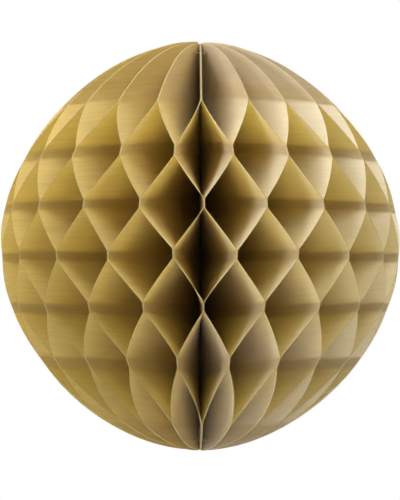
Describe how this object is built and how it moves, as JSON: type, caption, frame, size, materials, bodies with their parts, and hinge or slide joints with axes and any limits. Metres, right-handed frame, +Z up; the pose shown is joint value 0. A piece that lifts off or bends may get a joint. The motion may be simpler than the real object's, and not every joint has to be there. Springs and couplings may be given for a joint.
{
  "type": "paper honeycomb ball",
  "caption": "Honeycomb ball of gold paper: half-disc leaves glued along alternating level lines into diamond cells, folding flat between card covers.",
  "frame": {"origin": "middle of the open ball, on the spine where the straight edges meet", "axes": "+Z up along the spine; the seam between the covers is towards +Y; the side seen in a front view is towards -Y"},
  "size_m": [0.2486, 0.2493, 0.255],
  "materials": {
    "leaf_paper": "matte metallic gold",
    "cover_card": "matte card faced with gold paper",
    "pad": "matte adhesive pad",
    "thread": "twisted cotton thread"
  },
  "bodies": {
    "spine": {"binding_top": "thread", "binding_bottom": "thread"},
    "left_cover": {"cover_left": "cover_card", "pad_upper": "pad", "pad_middle": "pad", "pad_lower": "pad"},
    "right_cover": {"cover_right": "cover_card"},
    "body_leaf_01": {"leaf_01": "leaf_paper"},
    "body_leaf_02": {"leaf_02": "leaf_paper"},
    "body_leaf_03": {"leaf_03": "leaf_paper"},
    "body_leaf_04": {"leaf_04": "leaf_paper"},
    "body_leaf_05": {"leaf_05": "leaf_paper"},
    "body_leaf_06": {"leaf_06": "leaf_paper"},
    "body_leaf_07": {"leaf_07": "leaf_paper"},
    "body_leaf_08": {"leaf_08": "leaf_paper"},
    "body_leaf_09": {"leaf_09": "leaf_paper"},
    "body_leaf_10": {"leaf_10": "leaf_paper"},
    "body_leaf_11": {"leaf_11": "leaf_paper"},
    "body_leaf_12": {"leaf_12": "leaf_paper"},
    "body_leaf_13": {"leaf_13": "leaf_paper"},
    "body_leaf_14": {"leaf_14": "leaf_paper"},
    "body_leaf_15": {"leaf_15": "leaf_paper"},
    "body_leaf_16": {"leaf_16": "leaf_paper"},
    "body_leaf_17": {"leaf_17": "leaf_paper"},
    "body_leaf_18": {"leaf_18": "leaf_paper"},
    "body_leaf_19": {"leaf_19": "leaf_paper"},
    "body_leaf_20": {"leaf_20": "leaf_paper"},
    "body_leaf_21": {"leaf_21": "leaf_paper"},
    "body_leaf_22": {"leaf_22": "leaf_paper"},
    "body_leaf_23": {"leaf_23": "leaf_paper"},
    "body_leaf_24": {"leaf_24": "leaf_paper"},
    "body_leaf_25": {"leaf_25": "leaf_paper"},
    "body_leaf_26": {"leaf_26": "leaf_paper"},
    "body_leaf_27": {"leaf_27": "leaf_paper"},
    "body_leaf_28": {"leaf_28": "leaf_paper"},
    "body_leaf_29": {"leaf_29": "leaf_paper"},
    "body_leaf_30": {"leaf_30": "leaf_paper"},
    "body_leaf_31": {"leaf_31": "leaf_paper"},
    "body_leaf_32": {"leaf_32": "leaf_paper"},
    "body_leaf_33": {"leaf_33": "leaf_paper"},
    "body_leaf_34": {"leaf_34": "leaf_paper"},
    "body_leaf_35": {"leaf_35": "leaf_paper"},
    "body_leaf_36": {"leaf_36": "leaf_paper"},
    "body_leaf_37": {"leaf_37": "leaf_paper"},
    "body_leaf_38": {"leaf_38": "leaf_paper"},
    "body_leaf_39": {"leaf_39": "leaf_paper"},
    "body_leaf_40": {"leaf_40": "leaf_paper"}
  },
  "joints": [
    {"name": "close_ball", "type": "hinge", "parent": "spine", "child": "right_cover", "pos_m": [0.00435, 0, 0], "axis": [0, 0, -1], "range_deg": [0, 180], "deforming": ["binding_top", "binding_bottom"]},
    {"name": "close_left_cover", "type": "hinge", "parent": "spine", "child": "left_cover", "pos_m": [-0.00435, 0, 0], "axis": [0, 0, 1], "range_deg": [0, 180]},
    {"name": "close_leaf_01", "type": "hinge", "parent": "spine", "child": "body_leaf_01", "pos_m": [-0.0039, -0.00015, 0], "axis": [0, 0, 1], "range_deg": [0, 175.5], "deforming": ["leaf_01"]},
    {"name": "close_leaf_02", "type": "hinge", "parent": "spine", "child": "body_leaf_02", "pos_m": [-0.0037, -0.00044, 0], "axis": [0, 0, 1], "range_deg": [0, 166.5], "deforming": ["leaf_02"]},
    {"name": "close_leaf_03", "type": "hinge", "parent": "spine", "child": "body_leaf_03", "pos_m": [-0.0035, -0.0007, 0], "axis": [0, 0, 1], "range_deg": [0, 157.5], "deforming": ["leaf_03"]},
    {"name": "close_leaf_04", "type": "hinge", "parent": "spine", "child": "body_leaf_04", "pos_m": [-0.0033, -0.00093, 0], "axis": [0, 0, 1], "range_deg": [0, 148.5], "deforming": ["leaf_04"]},
    {"name": "close_leaf_05", "type": "hinge", "parent": "spine", "child": "body_leaf_05", "pos_m": [-0.0031, -0.00114, 0], "axis": [0, 0, 1], "range_deg": [0, 139.5], "deforming": ["leaf_05"]},
    {"name": "close_leaf_06", "type": "hinge", "parent": "spine", "child": "body_leaf_06", "pos_m": [-0.0029, -0.00134, 0], "axis": [0, 0, 1], "range_deg": [0, 130.5], "deforming": ["leaf_06"]},
    {"name": "close_leaf_07", "type": "hinge", "parent": "spine", "child": "body_leaf_07", "pos_m": [-0.0027, -0.00151, 0], "axis": [0, 0, 1], "range_deg": [0, 121.5], "deforming": ["leaf_07"]},
    {"name": "close_leaf_08", "type": "hinge", "parent": "spine", "child": "body_leaf_08", "pos_m": [-0.0025, -0.00167, 0], "axis": [0, 0, 1], "range_deg": [0, 112.5], "deforming": ["leaf_08"]},
    {"name": "close_leaf_09", "type": "hinge", "parent": "spine", "child": "body_leaf_09", "pos_m": [-0.0023, -0.00181, 0], "axis": [0, 0, 1], "range_deg": [0, 103.5], "deforming": ["leaf_09"]},
    {"name": "close_leaf_10", "type": "hinge", "parent": "spine", "child": "body_leaf_10", "pos_m": [-0.0021, -0.00194, 0], "axis": [0, 0, 1], "range_deg": [0, 94.5], "deforming": ["leaf_10"]},
    {"name": "close_leaf_11", "type": "hinge", "parent": "spine", "child": "body_leaf_11", "pos_m": [-0.0019, -0.00206, 0], "axis": [0, 0, 1], "range_deg": [0, 85.5], "deforming": ["leaf_11"]},
    {"name": "close_leaf_12", "type": "hinge", "parent": "spine", "child": "body_leaf_12", "pos_m": [-0.0017, -0.00216, 0], "axis": [0, 0, 1], "range_deg": [0, 76.5], "deforming": ["leaf_12"]},
    {"name": "close_leaf_13", "type": "hinge", "parent": "spine", "child": "body_leaf_13", "pos_m": [-0.0015, -0.00224, 0], "axis": [0, 0, 1], "range_deg": [0, 67.5], "deforming": ["leaf_13"]},
    {"name": "close_leaf_14", "type": "hinge", "parent": "spine", "child": "body_leaf_14", "pos_m": [-0.0013, -0.00232, 0], "axis": [0, 0, 1], "range_deg": [0, 58.5], "deforming": ["leaf_14"]},
    {"name": "close_leaf_15", "type": "hinge", "parent": "spine", "child": "body_leaf_15", "pos_m": [-0.0011, -0.00239, 0], "axis": [0, 0, 1], "range_deg": [0, 49.5], "deforming": ["leaf_15"]},
    {"name": "close_leaf_16", "type": "hinge", "parent": "spine", "child": "body_leaf_16", "pos_m": [-0.0009, -0.00244, 0], "axis": [0, 0, 1], "range_deg": [0, 40.5], "deforming": ["leaf_16"]},
    {"name": "close_leaf_17", "type": "hinge", "parent": "spine", "child": "body_leaf_17", "pos_m": [-0.0007, -0.00248, 0], "axis": [0, 0, 1], "range_deg": [0, 31.5], "deforming": ["leaf_17"]},
    {"name": "close_leaf_18", "type": "hinge", "parent": "spine", "child": "body_leaf_18", "pos_m": [-0.0005, -0.00251, 0], "axis": [0, 0, 1], "range_deg": [0, 22.5], "deforming": ["leaf_18"]},
    {"name": "close_leaf_19", "type": "hinge", "parent": "spine", "child": "body_leaf_19", "pos_m": [-0.0003, -0.00253, 0], "axis": [0, 0, 1], "range_deg": [0, 13.5], "deforming": ["leaf_19"]},
    {"name": "close_leaf_20", "type": "hinge", "parent": "spine", "child": "body_leaf_20", "pos_m": [-0.0001, -0.00255, 0], "axis": [0, 0, 1], "range_deg": [0, 4.5], "deforming": ["leaf_20"]},
    {"name": "close_leaf_21", "type": "hinge", "parent": "spine", "child": "body_leaf_21", "pos_m": [0.0001, -0.00255, 0], "axis": [0, 0, -1], "range_deg": [0, 4.5], "deforming": ["leaf_21"]},
    {"name": "close_leaf_22", "type": "hinge", "parent": "spine", "child": "body_leaf_22", "pos_m": [0.0003, -0.00253, 0], "axis": [0, 0, -1], "range_deg": [0, 13.5], "deforming": ["leaf_22"]},
    {"name": "close_leaf_23", "type": "hinge", "parent": "spine", "child": "body_leaf_23", "pos_m": [0.0005, -0.00251, 0], "axis": [0, 0, -1], "range_deg": [0, 22.5], "deforming": ["leaf_23"]},
    {"name": "close_leaf_24", "type": "hinge", "parent": "spine", "child": "body_leaf_24", "pos_m": [0.0007, -0.00248, 0], "axis": [0, 0, -1], "range_deg": [0, 31.5], "deforming": ["leaf_24"]},
    {"name": "close_leaf_25", "type": "hinge", "parent": "spine", "child": "body_leaf_25", "pos_m": [0.0009, -0.00244, 0], "axis": [0, 0, -1], "range_deg": [0, 40.5], "deforming": ["leaf_25"]},
    {"name": "close_leaf_26", "type": "hinge", "parent": "spine", "child": "body_leaf_26", "pos_m": [0.0011, -0.00239, 0], "axis": [0, 0, -1], "range_deg": [0, 49.5], "deforming": ["leaf_26"]},
    {"name": "close_leaf_27", "type": "hinge", "parent": "spine", "child": "body_leaf_27", "pos_m": [0.0013, -0.00232, 0], "axis": [0, 0, -1], "range_deg": [0, 58.5], "deforming": ["leaf_27"]},
    {"name": "close_leaf_28", "type": "hinge", "parent": "spine", "child": "body_leaf_28", "pos_m": [0.0015, -0.00224, 0], "axis": [0, 0, -1], "range_deg": [0, 67.5], "deforming": ["leaf_28"]},
    {"name": "close_leaf_29", "type": "hinge", "parent": "spine", "child": "body_leaf_29", "pos_m": [0.0017, -0.00216, 0], "axis": [0, 0, -1], "range_deg": [0, 76.5], "deforming": ["leaf_29"]},
    {"name": "close_leaf_30", "type": "hinge", "parent": "spine", "child": "body_leaf_30", "pos_m": [0.0019, -0.00206, 0], "axis": [0, 0, -1], "range_deg": [0, 85.5], "deforming": ["leaf_30"]},
    {"name": "close_leaf_31", "type": "hinge", "parent": "spine", "child": "body_leaf_31", "pos_m": [0.0021, -0.00194, 0], "axis": [0, 0, -1], "range_deg": [0, 94.5], "deforming": ["leaf_31"]},
    {"name": "close_leaf_32", "type": "hinge", "parent": "spine", "child": "body_leaf_32", "pos_m": [0.0023, -0.00181, 0], "axis": [0, 0, -1], "range_deg": [0, 103.5], "deforming": ["leaf_32"]},
    {"name": "close_leaf_33", "type": "hinge", "parent": "spine", "child": "body_leaf_33", "pos_m": [0.0025, -0.00167, 0], "axis": [0, 0, -1], "range_deg": [0, 112.5], "deforming": ["leaf_33"]},
    {"name": "close_leaf_34", "type": "hinge", "parent": "spine", "child": "body_leaf_34", "pos_m": [0.0027, -0.00151, 0], "axis": [0, 0, -1], "range_deg": [0, 121.5], "deforming": ["leaf_34"]},
    {"name": "close_leaf_35", "type": "hinge", "parent": "spine", "child": "body_leaf_35", "pos_m": [0.0029, -0.00134, 0], "axis": [0, 0, -1], "range_deg": [0, 130.5], "deforming": ["leaf_35"]},
    {"name": "close_leaf_36", "type": "hinge", "parent": "spine", "child": "body_leaf_36", "pos_m": [0.0031, -0.00114, 0], "axis": [0, 0, -1], "range_deg": [0, 139.5], "deforming": ["leaf_36"]},
    {"name": "close_leaf_37", "type": "hinge", "parent": "spine", "child": "body_leaf_37", "pos_m": [0.0033, -0.00093, 0], "axis": [0, 0, -1], "range_deg": [0, 148.5], "deforming": ["leaf_37"]},
    {"name": "close_leaf_38", "type": "hinge", "parent": "spine", "child": "body_leaf_38", "pos_m": [0.0035, -0.0007, 0], "axis": [0, 0, -1], "range_deg": [0, 157.5], "deforming": ["leaf_38"]},
    {"name": "close_leaf_39", "type": "hinge", "parent": "spine", "child": "body_leaf_39", "pos_m": [0.0037, -0.00044, 0], "axis": [0, 0, -1], "range_deg": [0, 166.5], "deforming": ["leaf_39"]},
    {"name": "close_leaf_40", "type": "hinge", "parent": "spine", "child": "body_leaf_40", "pos_m": [0.0039, -0.00015, 0], "axis": [0, 0, -1], "range_deg": [0, 175.5], "deforming": ["leaf_40"]}
  ],
  "couplings": [
    {"joint": "close_left_cover", "follows": "close_ball", "ratio": 1},
    {"joint": "close_leaf_01", "follows": "close_ball", "ratio": 0.975},
    {"joint": "close_leaf_02", "follows": "close_ball", "ratio": 0.925},
    {"joint": "close_leaf_03", "follows": "close_ball", "ratio": 0.875},
    {"joint": "close_leaf_04", "follows": "close_ball", "ratio": 0.825},
    {"joint": "close_leaf_05", "follows": "close_ball", "ratio": 0.775},
    {"joint": "close_leaf_06", "follows": "close_ball", "ratio": 0.725},
    {"joint": "close_leaf_07", "follows": "close_ball", "ratio": 0.675},
    {"joint": "close_leaf_08", "follows": "close_ball", "ratio": 0.625},
    {"joint": "close_leaf_09", "follows": "close_ball", "ratio": 0.575},
    {"joint": "close_leaf_10", "follows": "close_ball", "ratio": 0.525},
    {"joint": "close_leaf_11", "follows": "close_ball", "ratio": 0.475},
    {"joint": "close_leaf_12", "follows": "close_ball", "ratio": 0.425},
    {"joint": "close_leaf_13", "follows": "close_ball", "ratio": 0.375},
    {"joint": "close_leaf_14", "follows": "close_ball", "ratio": 0.325},
    {"joint": "close_leaf_15", "follows": "close_ball", "ratio": 0.275},
    {"joint": "close_leaf_16", "follows": "close_ball", "ratio": 0.225},
    {"joint": "close_leaf_17", "follows": "close_ball", "ratio": 0.175},
    {"joint": "close_leaf_18", "follows": "close_ball", "ratio": 0.125},
    {"joint": "close_leaf_19", "follows": "close_ball", "ratio": 0.075},
    {"joint": "close_leaf_20", "follows": "close_ball", "ratio": 0.025},
    {"joint": "close_leaf_21", "follows": "close_ball", "ratio": 0.025},
    {"joint": "close_leaf_22", "follows": "close_ball", "ratio": 0.075},
    {"joint": "close_leaf_23", "follows": "close_ball", "ratio": 0.125},
    {"joint": "close_leaf_24", "follows": "close_ball", "ratio": 0.175},
    {"joint": "close_leaf_25", "follows": "close_ball", "ratio": 0.225},
    {"joint": "close_leaf_26", "follows": "close_ball", "ratio": 0.275},
    {"joint": "close_leaf_27", "follows": "close_ball", "ratio": 0.325},
    {"joint": "close_leaf_28", "follows": "close_ball", "ratio": 0.375},
    {"joint": "close_leaf_29", "follows": "close_ball", "ratio": 0.425},
    {"joint": "close_leaf_30", "follows": "close_ball", "ratio": 0.475},
    {"joint": "close_leaf_31", "follows": "close_ball", "ratio": 0.525},
    {"joint": "close_leaf_32", "follows": "close_ball", "ratio": 0.575},
    {"joint": "close_leaf_33", "follows": "close_ball", "ratio": 0.625},
    {"joint": "close_leaf_34", "follows": "close_ball", "ratio": 0.675},
    {"joint": "close_leaf_35", "follows": "close_ball", "ratio": 0.725},
    {"joint": "close_leaf_36", "follows": "close_ball", "ratio": 0.775},
    {"joint": "close_leaf_37", "follows": "close_ball", "ratio": 0.825},
    {"joint": "close_leaf_38", "follows": "close_ball", "ratio": 0.875},
    {"joint": "close_leaf_39", "follows": "close_ball", "ratio": 0.925},
    {"joint": "close_leaf_40", "follows": "close_ball", "ratio": 0.975}
  ]
}
